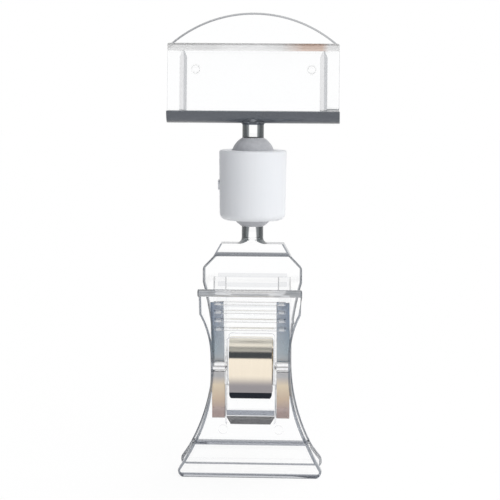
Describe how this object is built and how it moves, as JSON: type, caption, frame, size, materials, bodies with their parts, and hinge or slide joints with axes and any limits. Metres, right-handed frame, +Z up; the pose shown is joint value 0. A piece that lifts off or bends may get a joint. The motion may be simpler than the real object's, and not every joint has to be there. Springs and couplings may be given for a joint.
{
  "type": "place card holder",
  "caption": "Clear clip stand for a place card: sprung jaws with flared lips, a white sleeve on two balls, and a card channel with an arched back plate.",
  "frame": {"origin": "on the table, under the middle of the overall width and depth", "axes": "+Z up, -Y towards the reader of the card, +X to the reader's right"},
  "size_m": [0.0376, 0.0206, 0.1003],
  "materials": {
    "clear_plastic": "clear, polished",
    "white_plastic": "satin",
    "spring_steel": "bright rolled"
  },
  "bodies": {
    "stand": {"back_lever": "clear_plastic", "strip_spring": "spring_steel"},
    "front_jaw": {"front_lever": "clear_plastic"},
    "sleeve": {"ball_sleeve": "white_plastic"},
    "head": {"card_gripper": "clear_plastic"}
  },
  "joints": [
    {"name": "jaw_pivot", "type": "hinge", "parent": "stand", "child": "front_jaw", "pos_m": [0, 0.00123, 0.024], "axis": [-1, 0, 0], "range_deg": [0, 24], "stiffness_Nm_per_rad": 0.25, "springref_deg": -22.92, "deforming": ["strip_spring"]},
    {"name": "neck_swivel", "type": "hinge", "parent": "stand", "child": "sleeve", "pos_m": [0, 0.00298, 0.0582], "axis": [0, 0, 1], "continuous": true},
    {"name": "head_tilt", "type": "hinge", "parent": "sleeve", "child": "head", "pos_m": [0, 0.00298, 0.0691], "axis": [1, 0, 0], "range_deg": [-30, 30]}
  ]
}
